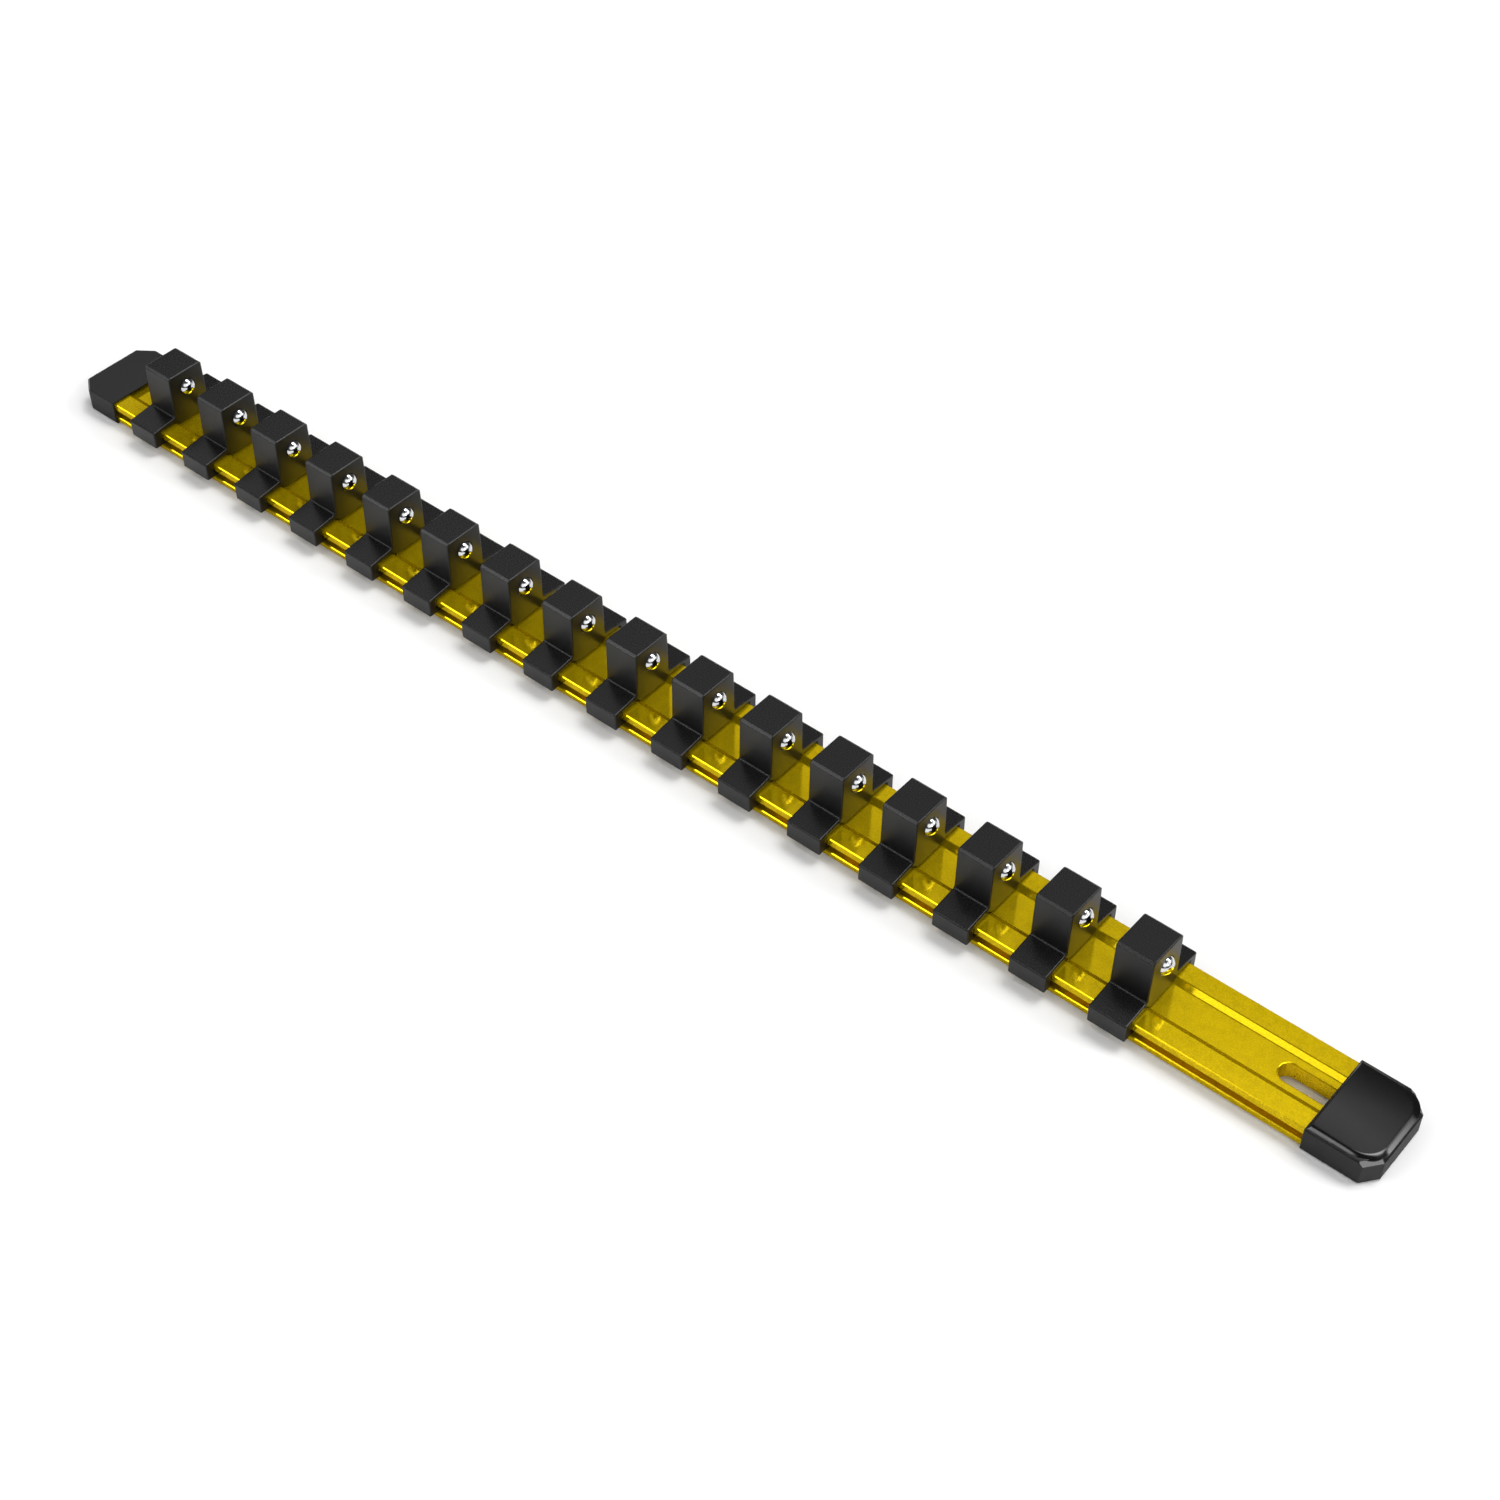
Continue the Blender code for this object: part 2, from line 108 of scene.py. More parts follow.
# A ball's bore and its spring
BORE_BACK_WALL = 0.0015
BORE_CLEARANCE = 0.00015
LIP_CLEARANCE = 0.00008
SPRING_RADIUS = 0.0021
SPRING_TURNS = 3.5
WIRE_RADIUS = 0.00025

# The end caps. A corner is cut by so much along the front side, along the back side and along the end.
CAP_FLOOR = 0.00055
CAP_BODY_TOP = 0.0077
CAP_END_WALL = 0.0050
CAP_CORNER_RADIUS = 0.0005
NEAR_CORNER = (0.0034, 0.0045, 0.0043)
FAR_CORNER = (0.0046, 0.0046, 0.0035)
CAVITY_CORNER_RADIUS = 0.0001
CAVITY_EDGE = 0.00008

# An upper rim's rounding, as a share of the smaller of the cap's edge and
# facet, and the depths of its rings below the top, as shares of that rounding
CAP_RIM_SHARE = 0.6
CAP_RIM_DEPTHS = (1.0, 0.7, 0.4, 0.2, 0.07, 0.0)

# The near cap's pad. The crown, the power, the slope and
# the blend are plain numbers of its height's formula.
PAD_INSET = 0.0006
PAD_END_INSET = 0.0003
PAD_MOUTH_INSET = 0.0002
PAD_CORNER_RADIUS = 0.0066
PAD_MOUTH_RADIUS = 0.0004
PAD_CROWN = 0.42
PAD_POWER = 2.6
PAD_SLOPE = 0.47
PAD_BLEND = 0.35

# The pad's shoulder runs in less at the mouth, and its corners shrink less than it runs in, by these shares
PAD_MOUTH_RUN = 0.45
PAD_CORNER_RUN = 0.8

# The pad's rings across its shoulder and across its top, the size of the innermost
# as a share, and the points round each of its corners and along each of its sides
PAD_SHOULDER_RINGS = 12
PAD_TOP_RINGS = 24
PAD_LAST_RING = 0.02
PAD_CORNER_STEPS = 16
PAD_SIDE_POINTS = 12

# How finely round shapes are drawn: the smallest radius that a corner shrinks to,
# the steps of a rounded edge and of a cap's corner, the sides of a bore and a ball,
# the rings of a ball, and the steps in a turn of wire and the sides of the wire
SMALLEST_RADIUS = 0.00002
EDGE_STEPS = 4
CAP_CORNER_STEPS = 5
ROUND_SEGMENTS = 64
BALL_RINGS = 31
WIRE_STEPS = 28
WIRE_SIDES = 10

# An edge that bends by more than this is drawn sharp, and large faces weigh this much in a piece's shading
SHARP_DEGREES = 34
NORMAL_WEIGHT = 90

BAR_HALF = RAIL_HIGH.y
BAR_TOP = RAIL_HIGH.z
GROOVE_TOP = BAR_TOP - FLANGE_THICKNESS
CLIP_LENGTH = CLIP_HIGH.x - CLIP_LOW.x
CLIP_TOP = CLIP_HIGH.z
BALL_AXIS = (BALL_LOW.z + BALL_HIGH.z) / 2
BALL_RADIUS = (BALL_HIGH.z - BALL_LOW.z) / 2
BALL_FROM_CLIP = (BALL_LOW.x + BALL_HIGH.x - CLIP_LOW.x - CLIP_HIGH.x) / 2
BORE_END = BORE_BACK_WALL - CLIP_LENGTH / 2

# The camera is where the photograph was taken from, for a square frame
# of 1500 by 1500 pixels. Its place is in metres and its turn in degrees.
CAMERA_PLACE = (0.32390, -0.34868, 0.47076)
CAMERA_TURN = (44.4021, 0.0367, 39.9907)
CAMERA_LENS = 59.96
CAMERA_SENSOR = 36.0
CAMERA_NEAREST = 0.01
CAMERA_FARTHEST = 50.0

# Half the side of the square floor
FLOOR_REACH = 6.0


def from_hex(code):
    """The linear colour of an sRGB hex code: each channel is divided by 12.92 below
    0.04045, and above it moved by 0.055, divided by 1.055 and raised to 2.4."""
    channels = np.array([int(code[i : i + 2], 16) for i in (1, 3, 5)]) / 255
    linear = np.where(channels <= 0.04045, channels / 12.92, ((channels + 0.055) / 1.055) ** 2.4)
    return (*linear.tolist(), 1.0)


class SocketRailSizes(bpy.types.PropertyGroup):
    """Small roundings and reliefs that the solids leave plain."""

    bar_bevel: bpy.props.FloatProperty(
        name="Bar bevel",
        description="Width of the flat bevels along the bar's outer edges. The recess's are half as wide",
        default=0.0003,
        min=0.0001,
        max=0.0004,
        precision=5,
        unit="LENGTH",
    )
    clip_edge: bpy.props.FloatProperty(
        name="Clip edge",
        description="Radius of the edges round a clip's two end faces",
        default=0.00042,
        min=0.0001,
        max=0.00045,
        precision=5,
        unit="LENGTH",
    )
    post_bevel: bpy.props.FloatProperty(
        name="Post bevel",
        description="Width, across and down, of the flat bevels along the top of a clip's post",
        default=0.0007,
        min=0.0003,
        max=0.0010,
        precision=5,
        unit="LENGTH",
    )
    post_fillet: bpy.props.FloatProperty(
        name="Post fillet",
        description="Radius of the hollow between a clip's post and its foot",
        default=0.0006,
        min=0.0003,
        max=0.0012,
        precision=5,
        unit="LENGTH",
    )
    bore_lip: bpy.props.FloatProperty(
        name="Bore lip",
        description="Width of the small bevel round a ball's opening",
        default=0.0002,
        min=0.00005,
        max=0.0004,
        precision=5,
        unit="LENGTH",
    )
    cap_edge: bpy.props.FloatProperty(
        name="Cap edge",
        description="Radius of the rounding along an end cap's lower rim",
        default=0.0009,
        min=0.0002,
        max=0.0009,
        precision=5,
        unit="LENGTH",
    )
    near_facet: bpy.props.FloatProperty(
        name="Near cap facet",
        description="Width of the facets along the near cap's upper rim, at its end and cut corners",
        default=0.0011,
        min=0.0004,
        max=0.0015,
        precision=5,
        unit="LENGTH",
    )
    far_facet: bpy.props.FloatProperty(
        name="Far cap facet",
        description="Width of the facets along the far cap's upper rim, at its end and cut corners",
        default=0.0005,
        min=0.0004,
        max=0.0015,
        precision=5,
        unit="LENGTH",
    )
    pad_side: bpy.props.FloatProperty(
        name="Pad side",
        description="How far the sloping shoulder round the near cap's pad runs in",
        default=0.0015,
        min=0.0006,
        max=0.0040,
        precision=5,
        unit="LENGTH",
    )
    slot_rim: bpy.props.FloatProperty(
        name="Slot rim",
        description="Radius of the rounding round the slot's rim",
        default=0.0004,
        min=0.0001,
        max=0.0008,
        precision=5,
        unit="LENGTH",
    )


class SocketRailColours(bpy.types.PropertyGroup):
    """Colours of the four finishes and of the floor."""

    anodised: bpy.props.FloatVectorProperty(
        name="Anodised yellow",
        description="Colour of the dyed anodising on the bar",
        default=from_hex("#E6C604"),
        size=4,
        min=0.0,
        max=1.0,
        subtype="COLOR",
    )
    plastic: bpy.props.FloatVectorProperty(
        name="Black plastic",
        description="Colour of the clips and end caps",
        default=from_hex("#090909"),
        size=4,
        min=0.0,
        max=1.0,
        subtype="COLOR",
    )
    chrome: bpy.props.FloatVectorProperty(
        name="Chrome",
        description="Colour of the detent balls",
        default=from_hex("#DCDDDF"),
        size=4,
        min=0.0,
        max=1.0,
        subtype="COLOR",
    )
    spring: bpy.props.FloatVectorProperty(
        name="Spring wire",
        description="Colour of the drawn wire of the springs",
        default=from_hex("#A9A8A4"),
        size=4,
        min=0.0,
        max=1.0,
        subtype="COLOR",
    )
    floor: bpy.props.FloatVectorProperty(
        name="Floor",
        description="Colour of the floor",
        default=from_hex("#FFFFFF"),
        size=4,
        min=0.0,
        max=1.0,
        subtype="COLOR",
    )


def sizes():
    """The sizes set in the scene."""
    return bpy.context.scene.socket_rail_sizes


def colours():
    """The colours set in the scene."""
    return bpy.context.scene.socket_rail_colours


def add_node(tree, kind, settings=None, links=None):
    """A node with its settings and links. A setting named
    like a property sets it; any other sets that socket."""
    node = tree.nodes.new(kind)
    for key, value in (settings or {}).items():
        if isinstance(key, str) and hasattr(node, key):
            setattr(node, key, value)
        else:
            node.inputs[key].default_value = value
    for key, socket in (links or {}).items():
        tree.links.new(socket, node.inputs[key])
    return node


# Patterns in the finishes, in features to the metre, or on the wire in features round it and along it
DIE_LINES = (30.0, 2500.0, 2500.0)
FILM_GRAIN = 2500.0
FILM_PATCHES = 420.0
NYLON_GRAIN = 2900.0
NYLON_WAVES = 480.0
CHROME_SWIRLS = 1100.0
WIRE_LINES = (14.0, 3.0, 1.0)
BOARD_FIBRES = 300.0

# The values of a noise lie mostly in the first range, and those of two mixed noises mostly in the second
NOISE_RANGE = (0.3, 0.7)
NARROW_RANGE = (0.35, 0.65)
WHOLE_RANGE = (0.0, 1.0)

# How dark or pale the other shade of each finish is, as a share of its colour
DEEP_DYE = 0.68
PALE_NYLON = 1.8
WORN_CHROME = 0.90
DULL_WIRE = 0.6
DIM_BOARD = 0.992

# Roughness of the finishes, from their smoothest places to their roughest
FILM_ROUGHNESS = (0.09, 0.15)
CHROME_ROUGHNESS = (0.03, 0.07)
WIRE_ROUGHNESS = (0.22, 0.42)

# Share of the patches in the bar's mottling, height of the reliefs in metres, and the upward
# part of a surface's normal, from where it begins to count as a wall to where it is one
PATCH_SHARE = 0.3
RELIEF_HEIGHT = 0.00003
WALL_RANGE = (0.6, 0.25)

# Places of the two colours and of the colour that comes out, among a mix node's sockets
FIRST_COLOUR = 6
SECOND_COLOUR = 7
MIXED_COLOUR = 2


def new_material(name):
    """An empty material with its output and shader, and the piece's own coordinates in metres."""
    material = bpy.data.materials.new(name)
    material.use_nodes = True
    tree = material.node_tree
    tree.nodes.clear()
    shader = add_node(tree, "ShaderNodeBsdfPrincipled")
    add_node(tree, "ShaderNodeOutputMaterial", links={"Surface": shader.outputs["BSDF"]})
    place = add_node(tree, "ShaderNodeTexCoord").outputs["Object"]
    return material, tree, shader, place


def noise(tree, place, scale, layers=2.0):
    """The value of a noise at a place, with its features to the metre and its number of finer layers."""
    node = add_node(tree, "ShaderNodeTexNoise", {"Scale": scale, "Detail": layers}, {"Vector": place})
    return node.outputs["Fac"]


def drawn_lines(tree, place, scales):
    """The value of a noise drawn out into lines, with its own number of features along each axis."""
    stretched = add_node(tree, "ShaderNodeMapping", {"Scale": scales}, {"Vector": place})
    return noise(tree, stretched.outputs[0], 1.0)


def carried(tree, value, before, after):
    """A value carried from one range to another and kept inside it."""
    limits = {"From Min": before[0], "From Max": before[1], "To Min": after[0], "To Max": after[1]}
    return add_node(tree, "ShaderNodeMapRange", limits, {"Value": value}).outputs["Result"]


def shade(colour, share):
    """A colour whose red, green and blue are multiplied by a share."""
    return tuple(channel * share for channel in colour[:3]) + (1.0,)


def between(tree, factor, first, second):
    """A colour between two, the first at a factor of 0 and the second at 1."""
    settings = {"data_type": "RGBA", FIRST_COLOUR: first, SECOND_COLOUR: second}
    return add_node(tree, "ShaderNodeMix", settings, {"Factor": factor}).outputs[MIXED_COLOUR]


def relief(tree, fine, coarse, share, strength):
    """Normals of a surface whose height is a fine pattern plus a share of a coarse one."""
    sum_up = {"operation": "MULTIPLY_ADD", 1: share}
    height = add_node(tree, "ShaderNodeMath", sum_up, {0: coarse, 2: fine}).outputs[0]
    settings = {"Strength": strength, "Distance": RELIEF_HEIGHT}
    return add_node(tree, "ShaderNodeBump", settings, {"Height": height}).outputs["Normal"]


def fill_in(tree, shader, colour, roughness, normal=None):
    """Gives the shader its colour and roughness, and its normals where the surface has a relief."""
    tree.links.new(colour, shader.inputs["Base Color"])
    tree.links.new(roughness, shader.inputs["Roughness"])
    if normal is not None:
        tree.links.new(normal, shader.inputs["Normal"])


def anodised_aluminium():
    """Anodised aluminium, extruded, etched to a satin and dyed yellow. Most light is mirrored, so the
    clips show in it with clear outlines, and the etched film scatters the rest, which keeps those dark
    places yellow. The clear top of the film adds a thin white gloss. Die lines run along the bar about
    0.4 mm apart. The etched grain, 0.05 mm on a real bar, is drawn 0.4 mm wide so that it shows."""
    material, tree, shader, place = new_material("dyed_aluminium")
    yellow = colours().anodised[:]
    lines = drawn_lines(tree, place, DIE_LINES)
    grain = noise(tree, place, FILM_GRAIN)
    patches = noise(tree, place, FILM_PATCHES, layers=3.0)
    mixing = {"data_type": "FLOAT", "Factor": PATCH_SHARE}
    mottle = add_node(tree, "ShaderNodeMix", mixing, {"A": grain, "B": patches}).outputs["Result"]
    spread = carried(tree, mottle, NARROW_RANGE, WHOLE_RANGE)
    dye = between(tree, spread, shade(yellow, DEEP_DYE), yellow)
    rough = carried(tree, patches, NOISE_RANGE, FILM_ROUGHNESS)
    shader.inputs["Metallic"].default_value = 0.74
    shader.inputs["Coat Weight"].default_value = 0.12
    shader.inputs["Coat Roughness"].default_value = 0.1
    shader.inputs["Specular IOR Level"].default_value = 0.0
    shader.inputs["Specular Tint"].default_value = yellow
    fill_in(tree, shader, dye, rough, relief(tree, grain, lines, share=0.35, strength=0.22))
    return material


def moulded_plastic(name, smoothest, roughest, wave, walls, mirror):
    """Black nylon, injection moulded, with a faint grain, drawn 0.35 mm wide, and slow waves of
    2 mm where the moulding shrank. Nylon mirrors little from above and much at a low angle. Upright
    walls are rougher, as a mould's sides are left spark eroded so that the part lets go of them."""
    material, tree, shader, place = new_material(name)
    black = colours().plastic[:]
    grain = noise(tree, place, NYLON_GRAIN)
    waves = noise(tree, place, NYLON_WAVES, layers=1.0)
    tone = between(tree, grain, black, shade(black, PALE_NYLON))
    level = carried(tree, grain, NOISE_RANGE, (smoothest, roughest))
    facing = add_node(tree, "ShaderNodeNewGeometry").outputs["Normal"]
    upwards = {"operation": "DOT_PRODUCT", 1: (0.0, 0.0, 1.0)}
    upright = add_node(tree, "ShaderNodeVectorMath", upwards, {0: facing}).outputs["Value"]
    wall = carried(tree, upright, WALL_RANGE, WHOLE_RANGE)
    mixing = {"data_type": "FLOAT", "B": walls}
    rough = add_node(tree, "ShaderNodeMix", mixing, {"Factor": wall, "A": level}).outputs["Result"]
    shader.inputs["IOR"].default_value = 1.53
    shader.inputs["Specular IOR Level"].default_value = mirror
    fill_in(tree, shader, tone, rough, relief(tree, grain, waves, share=wave, strength=0.06))
    return material


def satin_plastic():
    """Black nylon from a finely spark-eroded mould, as on
    the clips: a satin that mirrors the bar softly."""
    return moulded_plastic("satin_nylon", smoothest=0.24, roughest=0.30, wave=0.6, walls=0.40, mirror=0.34)


def glossy_plastic():
    """Black nylon from a polished mould, as on the end
    caps: clear reflections that end in sharp dark bands."""
    return moulded_plastic("polished_nylon", smoothest=0.11, roughest=0.17, wave=1.0, walls=0.65, mirror=0.42)


def chromed_steel():
    """Steel ball, ground, polished and chromed, so it mirrors what is
    round it. Handling leaves it very slightly uneven, at about 1 mm."""
    material, tree, shader, place = new_material("polished_chrome")
    bright = colours().chrome[:]
    swirls = noise(tree, place, CHROME_SWIRLS)
    tone = between(tree, swirls, shade(bright, WORN_CHROME), bright)
    shader.inputs["Metallic"].default_value = 1.0
    fill_in(tree, shader, tone, carried(tree, swirls, NOISE_RANGE, CHROME_ROUGHNESS))
    return material


def spring_steel():
    """Spring steel, cold drawn to wire. The die leaves lines along the wire, which the
    piece's own map follows: its first value runs round the wire and its second along it."""
    material, tree, shader, _ = new_material("drawn_wire")
    bright = colours().spring[:]
    along = add_node(tree, "ShaderNodeUVMap", {"uv_map": "along_wire"}).outputs["UV"]
    lines = drawn_lines(tree, along, WIRE_LINES)
    tone = between(tree, lines, shade(bright, DULL_WIRE), bright)
    shader.inputs["Metallic"].default_value = 1.0
    fill_in(tree, shader, tone, carried(tree, lines, WHOLE_RANGE, WIRE_ROUGHNESS))
    return material


def surface_finish(name, maker):
    """The material of that name, made once."""
    return bpy.data.materials.get(name) or maker()


def moved_in(corners, depths):
    """An anticlockwise outline with each side moved inwards by its own depth, for
    several depths at once. Side i runs from corner i to corner i + 1. A new corner is
    where two moved sides meet: the old corner plus the one step that goes as far along
    each side's inward normal as that side's depth. Returns levels by corners by 2."""
    side = np.roll(corners, -1, axis=0) - corners
    side /= np.linalg.norm(side, axis=1, keepdims=True)
    inward = np.stack([-side[:, 1], side[:, 0]], axis=1)
    before, depth_before = np.roll(inward, 1, axis=0), np.roll(depths, 1, axis=1)
    cross = before[:, 0] * inward[:, 1] - before[:, 1] * inward[:, 0]
    x = (depth_before * inward[:, 1] - depths * before[:, 1]) / cross
    y = (depths * before[:, 0] - depth_before * inward[:, 0]) / cross
    return corners + np.stack([x, y], axis=-1)


def rounded(corners, radii, steps):
    """Outlines with their corners rounded, for several levels at once. A corner's
    arc has its centre on the corner's bisector, the radius over the sine of the
    half angle away, and turns evenly from the point where the side before touches
    it to the point where the side after does. Returns levels by points by 2."""
    to_before = np.roll(corners, 1, axis=1) - corners
    to_after = np.roll(corners, -1, axis=1) - corners
    to_before /= np.linalg.norm(to_before, axis=2, keepdims=True)
    to_after /= np.linalg.norm(to_after, axis=2, keepdims=True)
    half = np.arccos(np.clip((to_before * to_after).sum(axis=2), -1, 1)) / 2
    middle = to_before + to_after
    middle /= np.linalg.norm(middle, axis=2, keepdims=True)
    centre = corners + middle * (radii / np.sin(half))[..., None]
    first = corners + to_before * (radii / np.tan(half))[..., None] - centre
    last = corners + to_after * (radii / np.tan(half))[..., None] - centre
    sine = first[..., 0] * last[..., 1] - first[..., 1] * last[..., 0]
    turn = np.arctan2(sine, (first * last).sum(axis=2))
    angle = turn[..., None] * np.linspace(0, 1, steps + 1)
    x = first[..., None, 0] * np.cos(angle) - first[..., None, 1] * np.sin(angle)
    y = first[..., None, 0] * np.sin(angle) + first[..., None, 1] * np.cos(angle)
    points = centre[:, :, None, :] + np.stack([x, y], axis=-1)
    return points.reshape(len(corners), -1, 2)


def edge_levels(length, edge):
    """Insets and places of rings along a solid, centred on 0, whose two ends have rounded edges.
    For an angle from a right angle at the end down to 0, the inset is the edge's radius times one
    minus the sine, and the distance from the end is the radius times one minus the cosine."""
    angle = np.linspace(math.pi / 2, 0, EDGE_STEPS + 1)
    inset = edge * (1 - np.sin(angle))
    from_end = edge * (1 - np.cos(angle))
    places = np.concatenate([-length / 2 + from_end[::-1], length / 2 - from_end])
    return np.concatenate([inset[::-1], inset]), places


def ring_faces(rings, around, closed_ends=True):
    """Four-sided faces between neighbouring rings of points, and one face on each end."""
    ring = np.arange(rings - 1)[:, None] * around
    point = np.arange(around)[None, :]
    after = (point + 1) % around
    faces = np.stack([ring + point, ring + after, ring + after + around, ring + point + around], axis=-1)
    faces = faces.reshape(-1, 4).tolist()
    if closed_ends:
        faces += [list(range(around))[::-1], list(range(around * (rings - 1), around * rings))]
    return faces


def new_mesh(name, points, faces):
    """A mesh of those points, whatever the shape of their table, and those faces."""
    mesh = bpy.data.meshes.new(name)
    mesh.from_pydata(np.reshape(points, (-1, 3)).tolist(), [], faces)
    mesh.update()
    return mesh


def swept_along_bar(name, corners, radii, edge, length):
    """A section in Y and Z carried along X, centred on X = 0. Near each end the section draws in by the
    edge's rounding. A positive radius shrinks with it, and one given as negative stays as it is."""
    inset, x = edge_levels(length, edge)
    outlines = moved_in(corners, np.repeat(inset[:, None], len(corners), axis=1))
    turned_in = np.maximum(radii[None, :] - inset[:, None], SMALLEST_RADIUS)
    outlines = rounded(outlines, np.where(radii[None, :] > 0, turned_in, -radii[None, :]), EDGE_STEPS)
    along = np.broadcast_to(x[:, None, None], outlines.shape[:2] + (1,))
    points = np.concatenate([along, outlines], axis=2)
    return new_mesh(name, points, ring_faces(len(x), outlines.shape[1]))


def turned_about_x(name, x, radius, height):
    """A profile of X and radius turned about the line at Y = 0 and that
    height: Y is radius times sine, Z is height plus radius times cosine."""
    angle = np.arange(ROUND_SEGMENTS) * math.tau / ROUND_SEGMENTS
    y = -radius[:, None] * np.sin(angle)
    z = height + radius[:, None] * np.cos(angle)
    points = np.stack([np.broadcast_to(x[:, None], y.shape), y, z], axis=-1)
    return new_mesh(name, points, ring_faces(len(x), ROUND_SEGMENTS))


def combined(mesh, other, operation):
    """A closed mesh with another one taken out of it (DIFFERENCE) or made one with it (UNION)."""
    body = bpy.data.objects.new("body", mesh)
    tool = bpy.data.objects.new("tool", other)
    for each in (body, tool):
        bpy.context.scene.collection.objects.link(each)
    boolean = body.modifiers.new("combine", "BOOLEAN")
    boolean.operation = operation
    boolean.solver = "EXACT"
    boolean.object = tool
    bpy.context.view_layer.update()
    graph = bpy.context.evaluated_depsgraph_get()
    result = bpy.data.meshes.new_from_object(body.evaluated_get(graph), depsgraph=graph)
    for each in (body, tool):
        bpy.data.objects.remove(each, do_unlink=True)
    return result


def dress(name, mesh, material, *nodes, weighted=True):
    """A finished piece that stands for CAD nodes of one body: smooth, with its real edges
    sharp. Its shading is weighted towards its large faces, unless it is round all over."""
    mesh.name = name
    mesh.materials.clear()
    mesh.materials.append(material)
    mesh.polygons.foreach_set("use_smooth", np.ones(len(mesh.polygons), bool))
    mesh.set_sharp_from_angle(angle=math.radians(SHARP_DEGREES))
    piece = bpy.data.objects.new(name, mesh)
    bpy.context.scene.collection.objects.link(piece)
    if weighted:
        normals = piece.modifiers.new("even_normals", "WEIGHTED_NORMAL")
        normals.mode = "FACE_AREA_WITH_ANGLE"
        normals.weight = NORMAL_WEIGHT
        normals.keep_sharp = True
    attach(piece, BODY_OF[nodes[0]])
    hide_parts(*nodes)
    return piece


def moved_along_bar(mesh, x):
    """A copy of a mesh whose every point is x further along the bar."""
    copy = mesh.copy()
    points = np.empty(len(copy.vertices) * 3, np.float32)
    copy.vertices.foreach_get("co", points)
    points[0::3] += x
    copy.vertices.foreach_set("co", points)
    copy.update()
    return copy


def mirrored(half):
    """Both halves of a section from its right half, anticlockwise. The left half repeats it, mirrored and
    in the other order. Each row holds Y, Z and a corner radius, negative where the radius stays fixed."""
    half = np.array(half)
    rows = np.concatenate([half, half[::-1] * [-1, 1, 1]])
    return rows[:, :2], rows[:, 2]


def bar_mesh():
    """The bar's section carried along X, with a slot cut through. The slot's outline is two half circles
    joined by straight sides. Towards each face its cutter widens along a quarter circle: its radius grows
    by the rim's radius times one minus the cosine of an angle, and its height by the rim's radius times
    the sine. A recess's bevel meets the flat and the slope at equal distances from their corner."""
    bevel = sizes().bar_bevel
    half_bevel = bevel / 2
    small = bevel / 4
    groove_wall = BAR_HALF - GROOVE_DEPTH
    groove_bottom = GROOVE_TOP - GROOVE_HEIGHT
    floor = BAR_TOP - RECESS_DEPTH
    recess = RECESS_HALF - RECESS_SIDE_RUN
    share = half_bevel / np.hypot(RECESS_SIDE_RUN, RECESS_DEPTH)
    corners, radii = mirrored(
        [
            (BAR_HALF, RAIL_LOW.z, small),
            (BAR_HALF, groove_bottom - bevel, small),
            (BAR_HALF - bevel, groove_bottom, small),
            (groove_wall, groove_bottom, -small),
            (groove_wall, GROOVE_TOP, -small),
            (BAR_HALF, GROOVE_TOP, small),
            (BAR_HALF, BAR_TOP - bevel, small),
            (BAR_HALF - bevel, BAR_TOP, small),
            (RECESS_HALF + half_bevel, BAR_TOP, small),
            (RECESS_HALF - share * RECESS_SIDE_RUN, BAR_TOP - share * RECESS_DEPTH, small),
            (recess + share * RECESS_SIDE_RUN, floor + share * RECESS_DEPTH, -small),
            (recess - half_bevel, floor, -small),
        ]
    )
    bar = swept_along_bar("bar", corners, radii, small, RAIL_HIGH.x - RAIL_LOW.x)
    rim = sizes().slot_rim
    turn = np.linspace(-math.pi / 2, math.pi / 2, SLOT_END_STEPS + 1)
    angle = np.concatenate([turn, turn + math.pi])
    far = RAIL_HIGH.x - SLOT_FAR_GAP - SLOT_RADIUS
    near = far - SLOT_LENGTH + 2 * SLOT_RADIUS
    middle = np.where(np.arange(len(angle)) <= SLOT_END_STEPS, far, near)
    bend = np.radians(SLOT_RIM_DEGREES)
    up = np.append(rim * (np.sin(bend) - 1), SLOT_CUTTER_LIFT * rim)
    out = np.append(rim * (1 - np.cos(bend)), SLOT_CUTTER_FLARE * rim)
    z = np.concatenate([RAIL_LOW.z - up[::-1], floor + up])
    radius = SLOT_RADIUS + np.concatenate([out[::-1], out])
    x = middle + radius[:, None] * np.cos(angle)
    y = radius[:, None] * np.sin(angle)
    points = np.stack([x, y, np.broadcast_to(z[:, None], x.shape)], axis=-1)
    slot = new_mesh("slot", points, ring_faces(len(z), len(angle)))
    return combined(bar, slot, "DIFFERENCE")


